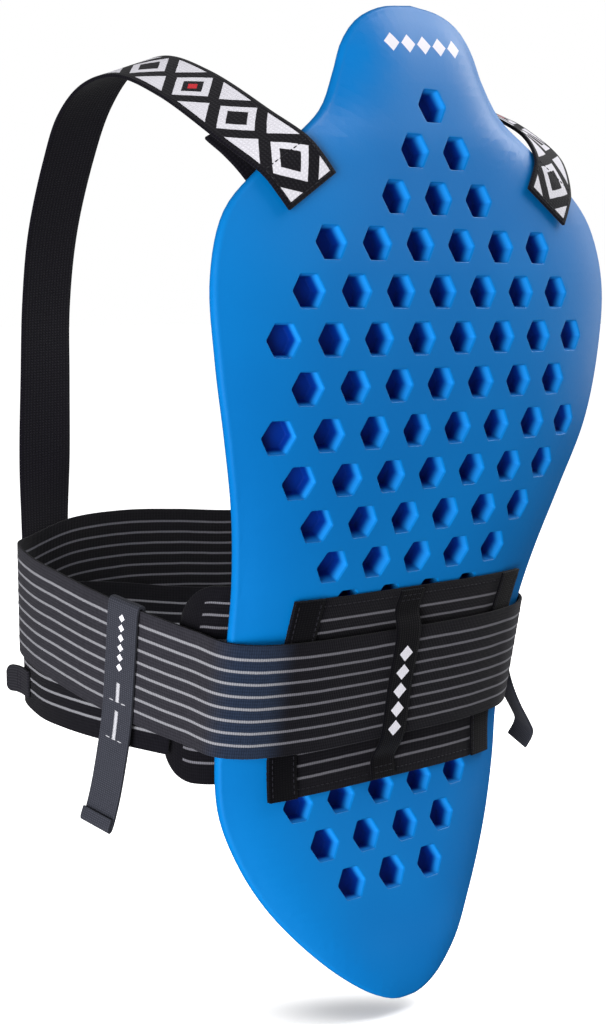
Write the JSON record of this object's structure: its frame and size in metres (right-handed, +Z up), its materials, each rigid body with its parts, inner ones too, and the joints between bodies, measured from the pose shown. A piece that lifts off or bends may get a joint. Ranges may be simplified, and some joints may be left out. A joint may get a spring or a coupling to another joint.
{
  "type": "back protector",
  "caption": "Shaped blue foam back protector with hexagonal pockets, a striped elastic waist belt and webbing shoulder straps, worn for skiing.",
  "frame": {"origin": "on the pad's inner face on its centre line, about half way down the pad, where it sits on the wearer's back", "axes": "+Z up along the spine, +Y from the pad to the wearer, +X to the wearer's right"},
  "size_m": [0.2702, 0.2336, 0.5013],
  "materials": {
    "foam": "smooth satin moulded foam",
    "elastic": "ribbed woven elastic with pale grey stripes",
    "webbing": "close woven webbing",
    "connector": "matt woven tape"
  },
  "bodies": {
    "root": {"pad": "foam", "lumbar_panel": "elastic", "waist_belt": "elastic", "belt_closure": "elastic", "kidney_panel": "elastic", "panel_binding_left": "webbing", "panel_binding_right": "webbing", "belt_keeper": "webbing", "closure_pull_tab": "webbing", "shoulder_strap_left": "webbing", "shoulder_strap_right": "webbing", "strap_under_tab_left": "webbing", "strap_under_tab_right": "webbing", "connector_strap_left": "connector", "connector_strap_right": "connector"}
  },
  "joints": []
}
